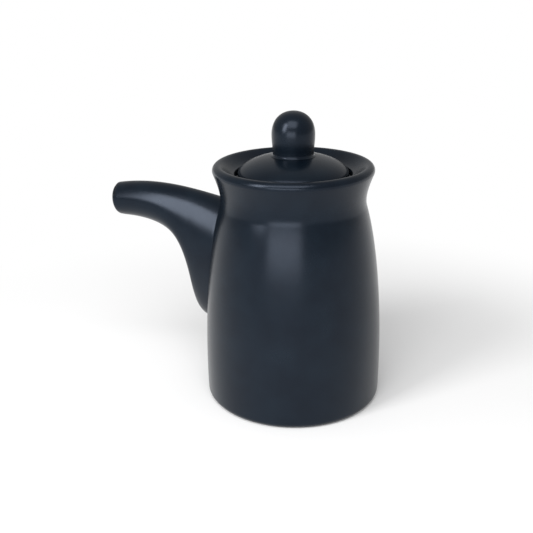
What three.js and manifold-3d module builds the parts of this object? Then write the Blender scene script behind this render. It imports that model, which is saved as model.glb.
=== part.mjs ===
// A glazed ceramic sauce pot: a slip-cast body with a flared rim, a cast spout luted to its
// wall, and a loose domed lid with a knob. Millimetres, +Z up. The origin is the centre of the
// flat foot, and the spout points along -X.
import * as THREE from "three";
import { mergeVertices } from "three/addons/utils/BufferGeometryUtils.js";
import Module from "manifold-3d";

const wasm = await Module();
wasm.setup();

// Body, outside: foot, wall, neck and rolled lip.
const bodyRadius = 32.5;
const footRounding = 2.2;
const bellyFullness = 0.7;
const shoulderRadius = 31.1;
const shoulderHeight = 56.5;
const neckTopRadius = 26.35;
const neckTopHeight = 72.5;
const neckRadius = 25.75;
const flare = 3.2;
const lipRadius = 2.0;
const lipCentreRadius = 26.6;
const lipCentreHeight = 85.9;

// Body, inside: the casting's wall, the floor and the gallery that the lid sits in.
const wallThickness = 3.6;
const floorThickness = 4.0;
const floorRounding = 5.0;
const galleryRadius = 20.8;
const galleryEdgeHeight = 84.7;
const galleryDepth = 2.5;
const ledgeThickness = 3.6;
const throatRadius = 17.0;
const throatRounding = 0.8;

// The hole through the wall into the spout.
const pourHoleRadius = 7.0;
const pourHoleHeight = 47.0;

// Spout: a tube between an upper and a lower rail in the XZ plane.
const tipReach = 72.0;
const tipHeight = 68.3;
const tipRadius = 6.15;
const tipLean = 0.13;
const spoutWall = 2.7;
const spoutRootTop = 72.3;
const spoutRootBottom = 24.0;
const rootHalfWidth = 11.5;
const rootEgg = 0.12;
const keelReach = 38.4;
const keelFoot = 30.6;
const lutingGap = 0.3;

// Lid: a domed cap with a locating flange underneath.
const lidSideClearance = 1.2;
const flangeClearance = 1.2;
const flangeDepth = 5.0;
const flangeThickness = 2.8;
const lidThickness = 3.4;
const lidSideHeight = 2.4;
const domeRise = 6.1;

// Knob.
const knobBaseRadius = 7.2;
const knobBellyRadius = 7.6;
const knobBellyHeight = 7.4;
const knobHeight = 15.5;

// Facets.
const turnSegments = 48;
const knobSegments = 36;
const spoutSides = 28;
const spoutStations = 18;

const glazeColour = 0x212a33;
const glazeRoughness = 0.42;

// Heights and radii that follow from the dimensions above.
const ledgeHeight = galleryEdgeHeight - galleryDepth;
const lidRadius = galleryRadius - lidSideClearance;
const lidEdgeHeight = ledgeHeight + lidSideHeight;
const knobSeatHeight = lidEdgeHeight + domeRise;
const flangeRadius = throatRadius - flangeClearance;

const point = (r, z) => new THREE.Vector2(r, z);

// Points along a circle's arc about (r, z), from one angle to another, in degrees.
function arc(r, z, radius, from, to, steps) {
  const points = [];
  for (let i = 0; i <= steps; i += 1) {
    const angle = THREE.MathUtils.degToRad(from + ((to - from) * i) / steps);
    points.push(point(r + radius * Math.cos(angle), z + radius * Math.sin(angle)));
  }
  return points;
}

// Points along a cubic Bezier curve, both ends among them.
function bezier(a, b, c, d, steps) {
  return new THREE.CubicBezierCurve(a, b, c, d).getPoints(steps);
}

// A profile without the points that repeat the one before them.
function tidy(profile) {
  return profile.filter((p, i) => i === 0 || p.distanceTo(profile[i - 1]) > 1e-3);
}

// A profile turned about the Z axis.
function turned(profile, segments) {
  return new THREE.LatheGeometry(tidy(profile), segments).rotateX(Math.PI / 2);
}

// A geometry as a manifold solid, with its shared vertices merged and slivers left out.
function solid(geometry) {
  const bare = geometry.clone();
  bare.deleteAttribute("normal");
  bare.deleteAttribute("uv");
  const merged = mergeVertices(bare, 1e-4);
  const corners = merged.index.array;
  const kept = [];
  for (let i = 0; i < corners.length; i += 3) {
    const [a, b, c] = [corners[i], corners[i + 1], corners[i + 2]];
    if (a !== b && b !== c && c !== a) kept.push(a, b, c);
  }
  return new wasm.Manifold(
    new wasm.Mesh({
      numProp: 3,
      vertProperties: merged.attributes.position.array,
      triVerts: new Uint32Array(kept),
    }),
  );
}

// A manifold solid as a geometry.
function geometryOf(made) {
  const mesh = made.getMesh();
  const geometry = new THREE.BufferGeometry();
  geometry.setAttribute("position", new THREE.BufferAttribute(mesh.vertProperties, 3));
  geometry.setIndex(new THREE.BufferAttribute(mesh.triVerts, 1));
  const faceted = geometry.toNonIndexed();
  faceted.computeVertexNormals();
  return faceted;
}

// Rings of equal length joined one to the next, and the last to the first, into a tube wall.
function tubeWall(rings) {
  const sides = rings[0].length;
  const positions = rings.flat().flatMap((p) => [p.x, p.y, p.z]);
  const index = [];
  rings.forEach((ring, i) => {
    const next = (i + 1) % rings.length;
    for (let j = 0; j < sides; j += 1) {
      const k = (j + 1) % sides;
      const [a, b] = [i * sides + j, i * sides + k];
      const [c, d] = [next * sides + k, next * sides + j];
      index.push(a, b, c, a, c, d);
    }
  });
  const geometry = new THREE.BufferGeometry();
  geometry.setAttribute("position", new THREE.Float32BufferAttribute(positions, 3));
  geometry.setIndex(index);
  return geometry;
}

// The outside of the pot from its foot to the top of the lip, standing off by a gap.
function outsideProfile(gap) {
  const lipStart = -22;
  const lipPoint = arc(lipCentreRadius, lipCentreHeight, lipRadius + gap, lipStart, lipStart, 1)[0];
  const along = THREE.MathUtils.degToRad(lipStart + 90);
  const shoulder = point(shoulderRadius + gap, shoulderHeight);
  const neckTop = point(neckTopRadius + gap, neckTopHeight);
  const inward = neckTop.clone().sub(shoulder).normalize();
  return [
    ...arc(bodyRadius - footRounding, footRounding, footRounding + gap, -90, 0, 5),
    ...bezier(
      point(bodyRadius + gap, footRounding),
      point(bodyRadius + bellyFullness + gap, shoulderHeight / 2),
      shoulder,
      neckTop,
      10,
    ),
    ...bezier(
      neckTop,
      neckTop.clone().addScaledVector(inward, flare),
      point(
        lipPoint.x - 2 * flare * Math.cos(along),
        lipPoint.y - 2 * flare * Math.sin(along),
      ),
      lipPoint,
      5,
    ),
    ...arc(lipCentreRadius, lipCentreHeight, lipRadius + gap, lipStart, 90, 5),
  ];
}

// The pot: outside, rolled lip, dished rim, gallery, throat, chamber wall and floor.
function potProfile() {
  const inside = wallThickness;
  const chamberRadius = bodyRadius - inside;
  const ledgeUnder = ledgeHeight - ledgeThickness;
  const dishStart = arc(lipCentreRadius, lipCentreHeight, lipRadius, 125, 125, 1)[0];
  const edgeRounding = throatRounding / 2;
  return [
    point(0, 0),
    ...outsideProfile(0),
    ...arc(lipCentreRadius, lipCentreHeight, lipRadius, 90, 125, 2),
    ...bezier(
      dishStart,
      point(dishStart.x - 1.7, dishStart.y - 1.2),
      point(galleryRadius + 2, galleryEdgeHeight + 0.6),
      point(galleryRadius + edgeRounding, galleryEdgeHeight),
      4,
    ),
    point(galleryRadius, galleryEdgeHeight - edgeRounding),
    point(galleryRadius, ledgeHeight),
    ...arc(throatRadius + throatRounding, ledgeHeight - throatRounding, throatRounding, 90, 180, 3),
    ...arc(
      throatRadius + throatRounding,
      ledgeUnder + throatRounding,
      throatRounding,
      180,
      250,
      2,
    ),
    ...bezier(
      point(throatRadius + 2 * throatRounding, ledgeUnder - 0.2),
      point(neckRadius - inside, ledgeUnder - 1.5),
      point(neckTopRadius - inside, neckTopHeight),
      point((neckTopRadius + shoulderRadius) / 2 - inside, (neckTopHeight + shoulderHeight) / 2),
      6,
    ),
    ...bezier(
      point((neckTopRadius + shoulderRadius) / 2 - inside, (neckTopHeight + shoulderHeight) / 2),
      point(shoulderRadius - inside, shoulderHeight - 2 * inside),
      point(chamberRadius, shoulderHeight * 0.6),
      point(chamberRadius, shoulderHeight * 0.3),
      5,
    ),
    ...arc(chamberRadius - floorRounding, floorThickness + floorRounding, floorRounding, 0, -90, 4),
    point(0, floorThickness),
  ];
}

// Where the hole and the spout go: a round bar along X, longer than the wall is thick.
function pourHole() {
  const reach = bodyRadius + 2 * wallThickness;
  return new THREE.CylinderGeometry(pourHoleRadius, pourHoleRadius, reach, spoutSides)
    .rotateZ(Math.PI / 2)
    .translate(-reach / 2 - throatRadius, 0, pourHoleHeight);
}

// The spout's upper rail: from the top of the tip, over a low arch, to the neck.
const tipTop = point(tipReach + tipRadius * tipLean, tipHeight + tipRadius);
const tipBottom = point(tipReach - tipRadius * tipLean, tipHeight - tipRadius);
const upperRail = new THREE.CubicBezierCurve(
  tipTop,
  point(tipTop.x * 0.75, tipTop.y + 3.8),
  point(neckTopRadius * 1.48, spoutRootTop + 2.6),
  point(neckTopRadius, spoutRootTop),
);

// Its lower rail: level under the tip, round the knee and down the keel, then into the wall.
const keel = new THREE.CubicBezierCurve(
  tipBottom,
  point(keelReach - 0.9, tipBottom.y + 1.5),
  point(keelReach + 1.0, keelFoot + 13.7),
  point(keelReach, keelFoot),
);
const toe = new THREE.QuadraticBezierCurve(
  point(keelReach, keelFoot),
  point(keelReach - 0.4, spoutRootBottom + 1),
  point(bodyRadius - 1, spoutRootBottom),
);
const keelShare = 0.7;

function lowerRail(t) {
  if (t < keelShare) return keel.getPoint(t / keelShare);
  return toe.getPoint((t - keelShare) / (1 - keelShare));
}

// One ring of the spout, t from 0 at the tip to 1 at the wall: an oval between the rails,
// drawn in by an inset, moved out along the tube, and fuller above its middle at the root.
function spoutRing(t, inset, forward) {
  const top = upperRail.getPoint(t);
  const bottom = lowerRail(t);
  const centre = top.clone().add(bottom).multiplyScalar(0.5);
  const half = top.clone().sub(bottom).multiplyScalar(0.5);
  const height = half.length();
  const width = tipRadius + (rootHalfWidth - tipRadius) * t ** 1.3 - inset;
  const up = half.clone().normalize();
  const out = point(up.y, -up.x);
  const ring = [];
  for (let i = 0; i < spoutSides; i += 1) {
    const angle = (2 * Math.PI * i) / spoutSides;
    const rise = (height - inset) * Math.cos(angle);
    const side = width * Math.sin(angle) * (1 + rootEgg * t * Math.cos(angle));
    const reach = centre.x + up.x * rise + out.x * forward;
    ring.push(new THREE.Vector3(-reach, side, centre.y + up.y * rise + out.y * forward));
  }
  return ring;
}

// The spout's rings: outside from root to tip, round the lip, and back inside. Both ends at
// the root run on into the wall, where the pot's own outside trims them.
function spoutRings() {
  const rings = [];
  const lipWall = spoutWall / 2;
  const intoWall = (ring) => ring.map((p) => p.clone().setX(p.x + 3 * wallThickness));
  rings.push(intoWall(spoutRing(1, 0, 0)));
  for (let i = spoutStations; i >= 1; i -= 1) rings.push(spoutRing(i / spoutStations, 0, 0));
  for (let i = 0; i <= 6; i += 1) {
    const angle = (Math.PI * i) / 6;
    rings.push(spoutRing(0, lipWall * (1 - Math.cos(angle)), lipWall * Math.sin(angle) - lipWall));
  }
  for (let i = 1; i <= spoutStations; i += 1) {
    rings.push(spoutRing(i / spoutStations, spoutWall, 0));
  }
  rings.push(intoWall(spoutRing(1, spoutWall, 0)));
  return rings;
}

// The lid: side, dome, flat seat for the knob, and underneath the hollow, flange and rest.
function lidProfile() {
  const edge = 0.4;
  const flangeInside = flangeRadius - flangeThickness;
  const flangeFoot = ledgeHeight - flangeDepth;
  const hollowTop = knobSeatHeight - lidThickness;
  return [
    point(0, hollowTop),
    ...bezier(
      point(knobBaseRadius, hollowTop),
      point(flangeInside - 1, hollowTop - 0.6),
      point(flangeInside, ledgeHeight + 1.5),
      point(flangeInside, ledgeHeight - 1),
      4,
    ),
    point(flangeInside, flangeFoot + edge),
    point(flangeInside + edge, flangeFoot),
    point(flangeRadius - 2 * edge, flangeFoot),
    point(flangeRadius - edge, flangeFoot + 2 * edge),
    point(flangeRadius, ledgeHeight),
    point(lidRadius - edge, ledgeHeight),
    point(lidRadius, ledgeHeight + edge),
    ...bezier(
      point(lidRadius, lidEdgeHeight),
      point(lidRadius - 0.2, lidEdgeHeight + domeRise * 0.4),
      point(knobBaseRadius + 6.8, knobSeatHeight - 1),
      point(knobBaseRadius, knobSeatHeight),
      9,
    ),
    point(0, knobSeatHeight),
  ];
}

// The knob: a slightly swelling stem under a round top.
function knobProfile() {
  const belly = knobSeatHeight + knobBellyHeight;
  const top = knobSeatHeight + knobHeight;
  const crown = top - belly;
  return [
    point(0, knobSeatHeight),
    ...bezier(
      point(knobBaseRadius, knobSeatHeight),
      point(knobBaseRadius, knobSeatHeight + knobBellyHeight * 0.4),
      point(knobBellyRadius, belly - knobBellyHeight * 0.4),
      point(knobBellyRadius, belly),
      5,
    ),
    ...bezier(
      point(knobBellyRadius, belly),
      point(knobBellyRadius, belly + crown * 0.62),
      point(knobBellyRadius * 0.6, top),
      point(0, top),
      9,
    ),
  ];
}

function glazed(name, made) {
  const material = new THREE.MeshStandardMaterial({
    color: glazeColour,
    roughness: glazeRoughness,
    metalness: 0,
  });
  const mesh = new THREE.Mesh(geometryOf(made), material);
  mesh.name = name;
  return mesh;
}

const pot = solid(turned(potProfile(), turnSegments)).subtract(solid(pourHole()));
const potSpace = solid(
  turned(
    [
      point(0, -lutingGap),
      ...outsideProfile(lutingGap),
      point(0, lipCentreHeight + lipRadius + lutingGap),
    ],
    turnSegments,
  ),
);
const spoutTube = solid(tubeWall(spoutRings())).subtract(potSpace);

const saucePot = new THREE.Group();
const lidGroup = new THREE.Group();
lidGroup.add(glazed("lid", solid(turned(lidProfile(), turnSegments))));
lidGroup.add(glazed("lid_knob", solid(turned(knobProfile(), knobSegments))));
saucePot.add(glazed("pot_body", pot));
saucePot.add(glazed("spout", spoutTube));
saucePot.add(lidGroup);

export default saucePot;
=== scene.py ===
"""A satin black glazed sauce pot: body, luted spout, and a loose lid with its knob."""
import math

import bmesh
import bpy
from mathutils import Matrix, Vector


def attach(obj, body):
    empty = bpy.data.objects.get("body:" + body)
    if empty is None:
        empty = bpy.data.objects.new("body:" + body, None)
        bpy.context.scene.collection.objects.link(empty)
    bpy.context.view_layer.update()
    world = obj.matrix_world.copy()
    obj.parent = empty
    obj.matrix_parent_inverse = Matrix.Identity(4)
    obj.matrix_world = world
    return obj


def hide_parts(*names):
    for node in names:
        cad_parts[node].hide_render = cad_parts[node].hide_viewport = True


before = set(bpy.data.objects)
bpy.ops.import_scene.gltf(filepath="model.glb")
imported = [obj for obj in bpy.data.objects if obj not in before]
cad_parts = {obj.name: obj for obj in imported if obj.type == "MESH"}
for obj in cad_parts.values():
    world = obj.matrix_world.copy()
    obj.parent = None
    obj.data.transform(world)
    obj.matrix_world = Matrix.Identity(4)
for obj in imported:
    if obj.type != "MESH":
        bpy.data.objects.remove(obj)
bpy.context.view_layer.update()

# Sizes are in millimetres and meshes in metres.
MM = 0.001

# Body, outside: foot, wall, neck and rolled lip. Angles of the lip are in degrees.
BODY_RADIUS = 32.5
FOOT_ROUNDING = 2.2
BELLY_FULLNESS = 0.7
SHOULDER_RADIUS = 31.1
SHOULDER_HEIGHT = 56.5
NECK_TOP_RADIUS = 26.35
NECK_TOP_HEIGHT = 72.5
NECK_RADIUS = 25.75
FLARE = 3.2
LIP_RADIUS = 2.0
LIP_CENTRE_RADIUS = 26.6
LIP_CENTRE_HEIGHT = 85.9
LIP_START = -22.0
LIP_END = 125.0

# Body, inside: the dish, the gallery that the lid sits in, the throat, the wall and the floor.
WALL = 3.6
FLOOR = 4.0
FLOOR_ROUNDING = 5.0
CHAMBER_CURVE_SHARE = 0.6
CHAMBER_STRAIGHT_SHARE = 0.3
DISH_LIP_IN = 1.7
DISH_LIP_DROP = 1.2
DISH_EDGE_OUT = 2.0
DISH_EDGE_RISE = 0.6
GALLERY_RADIUS = 20.8
GALLERY_EDGE_HEIGHT = 84.7
GALLERY_DEPTH = 2.5
LEDGE_THICKNESS = 3.6
LEDGE_UNDER_ANGLE = 250.0
LEDGE_UNDER_DROP = 0.2
LEDGE_UNDER_FALL = 1.5
THROAT_RADIUS = 17.0
THROAT_ROUNDING = 0.8

# Spout: a tube between an upper and a lower rail in the plane of symmetry.
TIP_REACH = 72.0
TIP_HEIGHT = 68.3
TIP_RADIUS = 6.15
TIP_LEAN = 0.13
SPOUT_WALL = 2.7
ARCH_SHARE = 0.75
ARCH_RISE = 3.8
SADDLE_SHARE = 1.48
SADDLE_RISE = 2.6
ROOT_TOP = 72.3
ROOT_BOTTOM = 24.0
ROOT_HALF_WIDTH = 11.5
ROOT_EGG = 0.12
ROOT_IN_WALL = 2.6
WIDENING_POWER = 1.3
KEEL_REACH = 38.4
KEEL_FOOT = 30.6
KEEL_SHARE = 0.7
KNEE_TUCK = 0.9
KNEE_RISE = 1.5
KEEL_SWELL = 1.0
KEEL_BEND = 13.7
TOE_TUCK = 0.4
TOE_RISE = 1.0
TOE_IN_WALL = 1.0

# Lid: a domed cap with a locating flange underneath.
LID_SIDE_CLEARANCE = 1.2
LID_SIDE_HEIGHT = 2.4
LID_SIDE_LEAN = 0.2
LID_THICKNESS = 3.4
LID_EDGE = 0.4
DOME_RISE = 6.1
DOME_SIDE_SHARE = 0.4
DOME_TOP_RUN = 6.8
DOME_TOP_DROP = 1.0
FLANGE_CLEARANCE = 1.2
FLANGE_DEPTH = 5.0
FLANGE_THICKNESS = 2.8
HOLLOW_EDGE_IN = 1.0
HOLLOW_EDGE_DROP = 0.6
HOLLOW_SIDE_RISE = 1.5
HOLLOW_SIDE_DROP = 1.0

# Knob: a slightly swelling stem under a round top.
KNOB_BASE_RADIUS = 7.2
KNOB_FILLET = 0.7
KNOB_BELLY_RADIUS = 7.6
KNOB_BELLY_HEIGHT = 7.4
KNOB_STEM_SHARE = 0.4
KNOB_HEIGHT = 15.5
KNOB_CROWN_SHARE = 0.62
KNOB_TOP_SHARE = 0.6

# Facets.
TURN_STEPS = 160
KNOB_STEPS = 128
SPOUT_SIDES = 96
SPOUT_STATIONS = 60
SPOUT_LIP_STEPS = 12

# Grain of the glaze and the clay.
MOTTLE_SIZE = 9.0
GLOSS_PATCH_SIZE = 4.0
PEEL_SIZE = 1.4
PEEL_DEPTH = 0.1
GRIT_SIZE = 0.6
GRIT_DEPTH = 0.1

# Camera, found by fitting the outline: millimetres, degrees for the azimuth, radians for yaw,
# pitch and roll, and a focal length in pixels of a 533 pixel frame.
CAMERA_DISTANCE = 280.0
CAMERA_HEIGHT = 155.8
CAMERA_AZIMUTH = 20.0
CAMERA_YAW = -0.035
CAMERA_PITCH = 0.364
CAMERA_ROLL = -0.011
CAMERA_CLIP = 10.0
FOCAL_PIXELS = 814.3
FRAME_PIXELS = 533.0
SENSOR = 36.0

# Studio, in metres. Each soft box has a name, its degrees round from the camera and up, its
# distance, its width and height, and its radiance, where 1 is white.
FLOOR_HALF_SIZE = 4.0
FLOOR_COLOUR = "#F6F6F6"
SHADOW_START = 0.08
SHADOW_END = 0.2
SURROUND_LEVEL = 0.45
AIM_HEIGHT = 0.05
SOFT_BOXES = [
    ("left_box", -51, 31, 0.7, (0.20, 0.44), 10.0),
    ("top_box", -7, 52, 0.7, (0.55, 0.45), 3.6),
    ("low_box", -12, 7, 0.6, (0.50, 0.20), 4.0),
]

# What follows from the sizes above.
LEDGE_HEIGHT = GALLERY_EDGE_HEIGHT - GALLERY_DEPTH
LID_RADIUS = GALLERY_RADIUS - LID_SIDE_CLEARANCE
LID_EDGE_HEIGHT = LEDGE_HEIGHT + LID_SIDE_HEIGHT
KNOB_SEAT = LID_EDGE_HEIGHT + DOME_RISE
FLANGE_RADIUS = THROAT_RADIUS - FLANGE_CLEARANCE
FLANGE_FOOT = LEDGE_HEIGHT - FLANGE_DEPTH


def linear(hex_colour):
    """An sRGB hex colour as a linear RGBA value."""
    channels = []
    for start in (1, 3, 5):
        c = int(hex_colour[start:start + 2], 16) / 255
        channels.append(c / 12.92 if c <= 0.04045 else ((c + 0.055) / 1.055) ** 2.4)
    return (*channels, 1.0)


def arc(r, z, radius, start, end, steps):
    """Points along a circle's arc about (r, z), angles in degrees."""
    points = []
    for i in range(steps + 1):
        a = math.radians(start + (end - start) * i / steps)
        points.append((r + radius * math.cos(a), z + radius * math.sin(a)))
    return points


def lip_at(angle):
    """The point of the rolled lip at an angle."""
    return arc(LIP_CENTRE_RADIUS, LIP_CENTRE_HEIGHT, LIP_RADIUS, angle, angle, 1)[0]


def bezier_at(curve, t):
    """A point on a cubic or quadratic Bezier curve."""
    points = [Vector(p) for p in curve]
    while len(points) > 1:
        points = [a.lerp(b, t) for a, b in zip(points, points[1:])]
    return points[0]


def bezier(curve, steps):
    """Points along a Bezier curve, both ends among them."""
    return [tuple(bezier_at(curve, i / steps)) for i in range(steps + 1)]


def piece(name, bm):
    """A bmesh as a smooth-shaded object at the origin."""
    mesh = bpy.data.meshes.new(name)
    bm.to_mesh(mesh)
    bm.free()
    mesh.shade_smooth()
    obj = bpy.data.objects.new(name, mesh)
    bpy.context.scene.collection.objects.link(obj)
    return obj


def turned(name, profile, steps):
    """A profile of (radius, height) in millimetres, spun about the Z axis into a closed mesh."""
    clean = [profile[0]]
    for p in profile[1:]:
        if math.dist(p, clean[-1]) > 1e-3:
            clean.append(p)
    bm = bmesh.new()
    verts = [bm.verts.new((r * MM, 0, z * MM)) for r, z in clean]
    edges = [bm.edges.new(pair) for pair in zip(verts, verts[1:])]
    bmesh.ops.spin(
        bm,
        geom=verts + edges,
        cent=(0, 0, 0),
        axis=(0, 0, 1),
        angle=2 * math.pi,
        steps=steps,
        use_merge=True,
    )
    bmesh.ops.remove_doubles(bm, verts=bm.verts[:], dist=1e-6)
    bmesh.ops.recalc_face_normals(bm, faces=bm.faces[:])
    return piece(name, bm)


def neck_curve():
    """From the top of the shoulder, through the neck, out to the underside of the lip."""
    lip = Vector(lip_at(LIP_START))
    along = math.radians(LIP_START + 90)
    shoulder = Vector((SHOULDER_RADIUS, SHOULDER_HEIGHT))
    neck_top = Vector((NECK_TOP_RADIUS, NECK_TOP_HEIGHT))
    inward = (neck_top - shoulder).normalized()
    return [
        neck_top,
        neck_top + inward * FLARE,
        lip - 2 * FLARE * Vector((math.cos(along), math.sin(along))),
        lip,
    ]


def wall_curve():
    """The outside wall, from the rounded foot to the top of the shoulder."""
    return [
        (BODY_RADIUS, FOOT_ROUNDING),
        (BODY_RADIUS + BELLY_FULLNESS, SHOULDER_HEIGHT / 2),
        (SHOULDER_RADIUS, SHOULDER_HEIGHT),
        (NECK_TOP_RADIUS, NECK_TOP_HEIGHT),
    ]


def pot_profile():
    """Outside, rolled lip, dish, gallery, throat, chamber wall and floor."""
    chamber = BODY_RADIUS - WALL
    under = LEDGE_HEIGHT - LEDGE_THICKNESS
    dish = lip_at(LIP_END)
    edge = THROAT_ROUNDING / 2
    throat = THROAT_RADIUS + THROAT_ROUNDING
    turn = (
        (NECK_TOP_RADIUS + SHOULDER_RADIUS) / 2 - WALL,
        (NECK_TOP_HEIGHT + SHOULDER_HEIGHT) / 2,
    )
    return [
        (0, 0),
        *arc(BODY_RADIUS - FOOT_ROUNDING, FOOT_ROUNDING, FOOT_ROUNDING, -90, 0, steps=12),
        *bezier(wall_curve(), steps=48),
        *bezier(neck_curve(), steps=24),
        *arc(LIP_CENTRE_RADIUS, LIP_CENTRE_HEIGHT, LIP_RADIUS, LIP_START, LIP_END, steps=24),
        *bezier([
            dish,
            (dish[0] - DISH_LIP_IN, dish[1] - DISH_LIP_DROP),
            (GALLERY_RADIUS + DISH_EDGE_OUT, GALLERY_EDGE_HEIGHT + DISH_EDGE_RISE),
            (GALLERY_RADIUS + edge, GALLERY_EDGE_HEIGHT),
        ], steps=14),
        *arc(GALLERY_RADIUS + edge, GALLERY_EDGE_HEIGHT - edge, edge, 90, 180, steps=4),
        (GALLERY_RADIUS, LEDGE_HEIGHT + edge),
        (GALLERY_RADIUS, LEDGE_HEIGHT),
        *arc(throat, LEDGE_HEIGHT - THROAT_ROUNDING, THROAT_ROUNDING, 90, 180, steps=6),
        *arc(throat, under + THROAT_ROUNDING, THROAT_ROUNDING, 180, LEDGE_UNDER_ANGLE, steps=5),
        *bezier([
            (THROAT_RADIUS + 2 * THROAT_ROUNDING, under - LEDGE_UNDER_DROP),
            (NECK_RADIUS - WALL, under - LEDGE_UNDER_FALL),
            (NECK_TOP_RADIUS - WALL, NECK_TOP_HEIGHT),
            turn,
        ], steps=12),
        *bezier([
            turn,
            (SHOULDER_RADIUS - WALL, SHOULDER_HEIGHT - 2 * WALL),
            (chamber, SHOULDER_HEIGHT * CHAMBER_CURVE_SHARE),
            (chamber, SHOULDER_HEIGHT * CHAMBER_STRAIGHT_SHARE),
        ], steps=16),
        *arc(chamber - FLOOR_ROUNDING, FLOOR + FLOOR_ROUNDING, FLOOR_ROUNDING, 0, -90, steps=8),
        (0, FLOOR),
    ]


def lid_profile():
    """The hollow and flange underneath, the side, the dome and the flat seat for the knob."""
    inside = FLANGE_RADIUS - FLANGE_THICKNESS
    hollow_top = KNOB_SEAT - LID_THICKNESS
    return [
        (0, hollow_top),
        *bezier([
            (KNOB_BASE_RADIUS, hollow_top),
            (inside - HOLLOW_EDGE_IN, hollow_top - HOLLOW_EDGE_DROP),
            (inside, LEDGE_HEIGHT + HOLLOW_SIDE_RISE),
            (inside, LEDGE_HEIGHT - HOLLOW_SIDE_DROP),
        ], steps=12),
        (inside, FLANGE_FOOT + LID_EDGE),
        (inside + LID_EDGE, FLANGE_FOOT),
        (FLANGE_RADIUS - 2 * LID_EDGE, FLANGE_FOOT),
        (FLANGE_RADIUS - LID_EDGE, FLANGE_FOOT + 2 * LID_EDGE),
        (FLANGE_RADIUS, LEDGE_HEIGHT),
        (LID_RADIUS - LID_EDGE, LEDGE_HEIGHT),
        (LID_RADIUS, LEDGE_HEIGHT + LID_EDGE),
        *bezier([
            (LID_RADIUS, LID_EDGE_HEIGHT),
            (LID_RADIUS - LID_SIDE_LEAN, LID_EDGE_HEIGHT + DOME_RISE * DOME_SIDE_SHARE),
            (KNOB_BASE_RADIUS + DOME_TOP_RUN, KNOB_SEAT - DOME_TOP_DROP),
            (KNOB_BASE_RADIUS, KNOB_SEAT),
        ], steps=32),
        (0, KNOB_SEAT),
    ]


def knob_profile():
    """A fillet of glaze at the foot, the stem, the belly and the round top."""
    belly = KNOB_SEAT + KNOB_BELLY_HEIGHT
    top = KNOB_SEAT + KNOB_HEIGHT
    fillet_radius = KNOB_BASE_RADIUS + KNOB_FILLET
    fillet_height = KNOB_SEAT + KNOB_FILLET
    stem = KNOB_BELLY_HEIGHT * KNOB_STEM_SHARE
    return [
        (0, KNOB_SEAT),
        (fillet_radius, KNOB_SEAT),
        *arc(fillet_radius, fillet_height, KNOB_FILLET, -90, -180, steps=6),
        *bezier([
            (KNOB_BASE_RADIUS, fillet_height),
            (KNOB_BASE_RADIUS, KNOB_SEAT + stem),
            (KNOB_BELLY_RADIUS, belly - stem),
            (KNOB_BELLY_RADIUS, belly),
        ], steps=16),
        *bezier([
            (KNOB_BELLY_RADIUS, belly),
            (KNOB_BELLY_RADIUS, belly + (top - belly) * KNOB_CROWN_SHARE),
            (KNOB_BELLY_RADIUS * KNOB_TOP_SHARE, top),
            (0, top),
        ], steps=32),
    ]


# The spout's rails, as (reach, height): over a low arch to the neck, and under the tip, round
# the knee and down the keel, and then into the wall.
TIP_TOP = (TIP_REACH + TIP_RADIUS * TIP_LEAN, TIP_HEIGHT + TIP_RADIUS)
TIP_BOTTOM = (TIP_REACH - TIP_RADIUS * TIP_LEAN, TIP_HEIGHT - TIP_RADIUS)
UPPER_RAIL = [
    TIP_TOP,
    (TIP_TOP[0] * ARCH_SHARE, TIP_TOP[1] + ARCH_RISE),
    (NECK_TOP_RADIUS * SADDLE_SHARE, ROOT_TOP + SADDLE_RISE),
    (NECK_TOP_RADIUS, ROOT_TOP),
]
KEEL = [
    TIP_BOTTOM,
    (KEEL_REACH - KNEE_TUCK, TIP_BOTTOM[1] + KNEE_RISE),
    (KEEL_REACH + KEEL_SWELL, KEEL_FOOT + KEEL_BEND),
    (KEEL_REACH, KEEL_FOOT),
]
TOE = [
    (KEEL_REACH, KEEL_FOOT),
    (KEEL_REACH - TOE_TUCK, ROOT_BOTTOM + TOE_RISE),
    (BODY_RADIUS - TOE_IN_WALL, ROOT_BOTTOM),
]


def lower_rail(t):
    """A point on the lower rail, t from 0 at the tip to 1 at the wall."""
    if t < KEEL_SHARE:
        return bezier_at(KEEL, t / KEEL_SHARE)
    return bezier_at(TOE, (t - KEEL_SHARE) / (1 - KEEL_SHARE))


def spout_ring(t, inset=0.0, forward=0.0):
    """One oval of the spout in millimetres, t from 0 at the tip to 1 at the wall."""
    top = bezier_at(UPPER_RAIL, t)
    bottom = lower_rail(t)
    centre = (top + bottom) / 2
    half = (top - bottom) / 2
    height = half.length
    width = TIP_RADIUS + (ROOT_HALF_WIDTH - TIP_RADIUS) * t ** WIDENING_POWER - inset
    up = half.normalized()
    out = Vector((up.y, -up.x))
    ring = []
    for i in range(SPOUT_SIDES):
        a = 2 * math.pi * i / SPOUT_SIDES
        rise = (height - inset) * math.cos(a)
        side = width * math.sin(a) * (1 + ROOT_EGG * t * math.cos(a))
        place = centre + up * rise + out * forward
        ring.append(Vector((-place.x, side, place.y)))
    return ring


def spout_rings():
    """The outside from root to tip, the rolled lip, and the bore back to the root."""
    lip = SPOUT_WALL / 2
    into_wall = Vector((ROOT_IN_WALL, 0, 0))
    rings = [[p + into_wall for p in spout_ring(1)]]
    rings += [spout_ring(i / SPOUT_STATIONS) for i in range(SPOUT_STATIONS, 0, -1)]
    for i in range(SPOUT_LIP_STEPS + 1):
        a = math.pi * i / SPOUT_LIP_STEPS
        rings.append(spout_ring(0, lip * (1 - math.cos(a)), lip * math.sin(a) - lip))
    rings += [spout_ring(i / SPOUT_STATIONS, SPOUT_WALL) for i in range(1, SPOUT_STATIONS + 1)]
    rings.append([p + into_wall for p in spout_ring(1, SPOUT_WALL)])
    return rings


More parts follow.
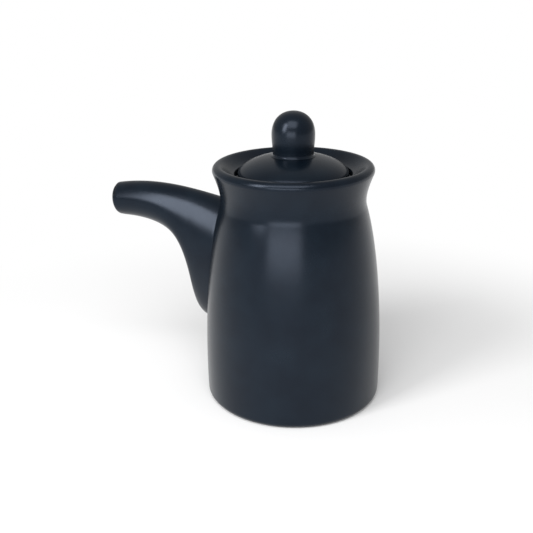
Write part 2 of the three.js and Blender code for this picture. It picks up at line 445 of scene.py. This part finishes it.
def edge_ring(bm, places):
    """A closed ring of edges through places given in millimetres."""
    verts = bmesh.ops.create_circle(bm, segments=len(places), radius=1)["verts"]
    for vert, place in zip(verts, places):
        vert.co = place * MM
    return list(dict.fromkeys(edge for vert in verts for edge in vert.link_edges))


def spout_piece():
    """The spout as one closed tube, bridged ring by ring, with its root inside the wall."""
    bm = bmesh.new()
    loops = [edge_ring(bm, ring) for ring in spout_rings()]
    for first, second in zip(loops, loops[1:] + loops[:1]):
        bmesh.ops.bridge_loops(bm, edges=first + second)
    bmesh.ops.recalc_face_normals(bm, faces=bm.faces[:])
    return piece("glazed_spout", bm)


def node(tree, kind, links=(), **settings):
    """Adds a node, sets its inputs or properties, and links (output, input) pairs into it."""
    made = tree.nodes.new(kind)
    for key, value in settings.items():
        if key in made.inputs:
            made.inputs[key].default_value = value
        else:
            setattr(made, key, value)
    for output, name in links:
        tree.links.new(output, made.inputs[name])
    return made


def new_material(name):
    """A material with its node tree and its Principled shader."""
    material = bpy.data.materials.new(name)
    material.use_nodes = True
    tree = material.node_tree
    return material, tree, tree.nodes["Principled BSDF"]


def satin_black_glaze():
    """Satin black glaze on cast stoneware: a soft wide gloss, faint mottling and orange peel."""
    material, tree, shader = new_material("satin_black_glaze")
    shader.inputs["IOR"].default_value = 1.36
    # Painted light: the blue tint on the gloss stands in for the bluish light of the lamps, which
    # are white here.
    shader.inputs["Specular Tint"].default_value = (0.70, 0.80, 1.0, 1.0)
    shader.inputs["Metallic"].default_value = 0.0
    place = node(tree, "ShaderNodeTexCoord").outputs["Object"]
    mottle = node(tree, "ShaderNodeTexNoise", [(place, "Vector")])
    mottle.inputs["Scale"].default_value = 1 / (MOTTLE_SIZE * MM)
    mottle.inputs["Detail"].default_value = 4
    colour = node(tree, "ShaderNodeValToRGB", [(mottle.outputs["Fac"], "Fac")])
    colour.color_ramp.elements[0].position = 0.35
    colour.color_ramp.elements[0].color = linear("#060D15")
    colour.color_ramp.elements[1].position = 0.7
    colour.color_ramp.elements[1].color = linear("#0B141C")
    tree.links.new(colour.outputs["Color"], shader.inputs["Base Color"])
    gloss = node(tree, "ShaderNodeTexNoise", [(place, "Vector")])
    gloss.inputs["Scale"].default_value = 1 / (GLOSS_PATCH_SIZE * MM)
    gloss.inputs["Detail"].default_value = 5
    rough = node(tree, "ShaderNodeMapRange", [(gloss.outputs["Fac"], "Value")])
    rough.inputs["To Min"].default_value = 0.22
    rough.inputs["To Max"].default_value = 0.28
    tree.links.new(rough.outputs["Result"], shader.inputs["Roughness"])
    peel = node(tree, "ShaderNodeTexNoise", [(place, "Vector")])
    peel.inputs["Scale"].default_value = 1 / (PEEL_SIZE * MM)
    peel.inputs["Detail"].default_value = 2
    bump = node(tree, "ShaderNodeBump", [(peel.outputs["Fac"], "Height")])
    bump.inputs["Strength"].default_value = 0.08
    bump.inputs["Distance"].default_value = PEEL_DEPTH * MM
    tree.links.new(bump.outputs["Normal"], shader.inputs["Normal"])
    return material


def bare_stoneware():
    """Unglazed stoneware on the foot: wiped clay, matt and slightly gritty."""
    material, tree, shader = new_material("bare_stoneware")
    shader.inputs["Roughness"].default_value = 0.85
    place = node(tree, "ShaderNodeTexCoord").outputs["Object"]
    grit = node(tree, "ShaderNodeTexNoise", [(place, "Vector")])
    grit.inputs["Scale"].default_value = 1 / (GRIT_SIZE * MM)
    colour = node(tree, "ShaderNodeValToRGB", [(grit.outputs["Fac"], "Fac")])
    colour.color_ramp.elements[0].position = 0.3
    colour.color_ramp.elements[0].color = linear("#8C7C6A")
    colour.color_ramp.elements[1].position = 0.7
    colour.color_ramp.elements[1].color = linear("#C4B6A2")
    tree.links.new(colour.outputs["Color"], shader.inputs["Base Color"])
    bump = node(tree, "ShaderNodeBump", [(grit.outputs["Fac"], "Height")])
    bump.inputs["Strength"].default_value = 0.3
    bump.inputs["Distance"].default_value = GRIT_DEPTH * MM
    tree.links.new(bump.outputs["Normal"], shader.inputs["Normal"])
    return material


def seen_rays(tree):
    """1 for the rays that look at the background: camera, glossy and transmission rays."""
    path = node(tree, "ShaderNodeLightPath")
    first = node(
        tree,
        "ShaderNodeMath",
        [(path.outputs["Is Camera Ray"], 0), (path.outputs["Is Glossy Ray"], 1)],
        operation="MAXIMUM",
    )
    both = node(
        tree,
        "ShaderNodeMath",
        [(first.outputs["Value"], 0), (path.outputs["Is Transmission Ray"], 1)],
        operation="MAXIMUM",
    )
    return both.outputs["Value"]


def pale_floor():
    """Matt white card. Near the pot it takes the pot's shadow, and further off it is plain white."""
    material, tree, shader = new_material("pale_floor")
    shader.inputs["Base Color"].default_value = linear(FLOOR_COLOUR)
    shader.inputs["Roughness"].default_value = 0.9
    place = node(tree, "ShaderNodeTexCoord").outputs["Object"]
    away = node(tree, "ShaderNodeVectorMath", [(place, 0)], operation="LENGTH")
    far = node(tree, "ShaderNodeMapRange", [(away.outputs["Value"], "Value")])
    far.interpolation_type = "SMOOTHSTEP"
    far.inputs["From Min"].default_value = SHADOW_START
    far.inputs["From Max"].default_value = SHADOW_END
    share = node(
        tree,
        "ShaderNodeMath",
        [(far.outputs["Result"], 0), (seen_rays(tree), 1)],
        operation="MULTIPLY",
    )
    plain = node(tree, "ShaderNodeEmission", Strength=1.0)
    mixed = node(tree, "ShaderNodeMixShader", [(share.outputs["Value"], "Fac")])
    tree.links.new(shader.outputs["BSDF"], mixed.inputs[1])
    tree.links.new(plain.outputs["Emission"], mixed.inputs[2])
    tree.links.new(mixed.outputs["Shader"], tree.nodes["Material Output"].inputs["Surface"])
    return material


def camera():
    """The photograph's camera, level with the pot's axis and then turned with it."""
    data = bpy.data.cameras.new("camera")
    data.lens = FOCAL_PIXELS * SENSOR / FRAME_PIXELS
    data.sensor_width = SENSOR
    data.clip_start = CAMERA_CLIP * MM
    obj = bpy.data.objects.new("camera", data)
    bpy.context.scene.collection.objects.link(obj)
    forward = Vector((
        math.sin(CAMERA_YAW) * math.cos(CAMERA_PITCH),
        math.cos(CAMERA_YAW) * math.cos(CAMERA_PITCH),
        -math.sin(CAMERA_PITCH),
    ))
    right = Vector((math.cos(CAMERA_YAW), -math.sin(CAMERA_YAW), 0))
    up = right.cross(forward)
    tilted_right = right * math.cos(CAMERA_ROLL) + up * math.sin(CAMERA_ROLL)
    tilted_up = up * math.cos(CAMERA_ROLL) - right * math.sin(CAMERA_ROLL)
    aim = Matrix((tilted_right, tilted_up, -forward)).transposed().to_4x4()
    place = Matrix.Translation(Vector((0, -CAMERA_DISTANCE, CAMERA_HEIGHT)) * MM)
    turn = Matrix.Rotation(math.radians(CAMERA_AZIMUTH), 4, "Z")
    obj.matrix_world = turn @ place @ aim
    bpy.context.scene.camera = obj


def soft_box(name, azimuth, elevation, distance, size, radiance):
    """An area light aimed at the pot, placed by its angle from the camera's side."""
    turn = math.radians(CAMERA_AZIMUTH + azimuth)
    rise = math.radians(elevation)
    centre = Vector((0, 0, AIM_HEIGHT))
    data = bpy.data.lights.new(name, "AREA")
    data.shape = "RECTANGLE"
    data.size, data.size_y = size
    data.energy = radiance * math.pi * data.size * data.size_y
    obj = bpy.data.objects.new(name, data)
    bpy.context.scene.collection.objects.link(obj)
    obj.location = centre + distance * Vector((
        math.sin(turn) * math.cos(rise),
        -math.cos(turn) * math.cos(rise),
        math.sin(rise),
    ))
    obj.rotation_euler = (centre - obj.location).to_track_quat("-Z", "Y").to_euler()
    obj.visible_camera = False


def studio():
    """A white floor in a dim room, lit by soft boxes to the left, above and in front."""
    bm = bmesh.new()
    bmesh.ops.create_grid(bm, x_segments=1, y_segments=1, size=FLOOR_HALF_SIZE)
    floor = piece("floor", bm)
    floor.data.materials.append(pale_floor())
    world = bpy.data.worlds.new("surround")
    bpy.context.scene.world = world
    world.use_nodes = True
    background = world.node_tree.nodes["Background"]
    background.inputs["Color"].default_value = (1, 1, 1, 1)
    background.inputs["Strength"].default_value = SURROUND_LEVEL
    for box in SOFT_BOXES:
        soft_box(*box)


def bare_the_foot(pot, clay):
    """Gives the flat under the foot the bare clay."""
    pot.data.materials.append(clay)
    for face in pot.data.polygons:
        if face.normal.z < -0.99 and face.center.z < 0.05 * MM:
            face.material_index = 1


glaze = satin_black_glaze()

pot = turned("glazed_body", pot_profile(), TURN_STEPS)
pot.data.materials.append(glaze)
bare_the_foot(pot, bare_stoneware())
spout = spout_piece()
spout.data.materials.append(glaze)
lid = turned("glazed_lid", lid_profile(), TURN_STEPS)
lid.data.materials.append(glaze)
knob = turned("glazed_knob", knob_profile(), KNOB_STEPS)
knob.data.materials.append(glaze)

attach(pot, "pot")
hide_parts("pot_body")
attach(spout, "pot")
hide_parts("spout")
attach(lid, "lid")
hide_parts("lid")
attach(knob, "lid")
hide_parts("lid_knob")

camera()
studio()
bpy.context.scene.view_settings.view_transform = "Standard"
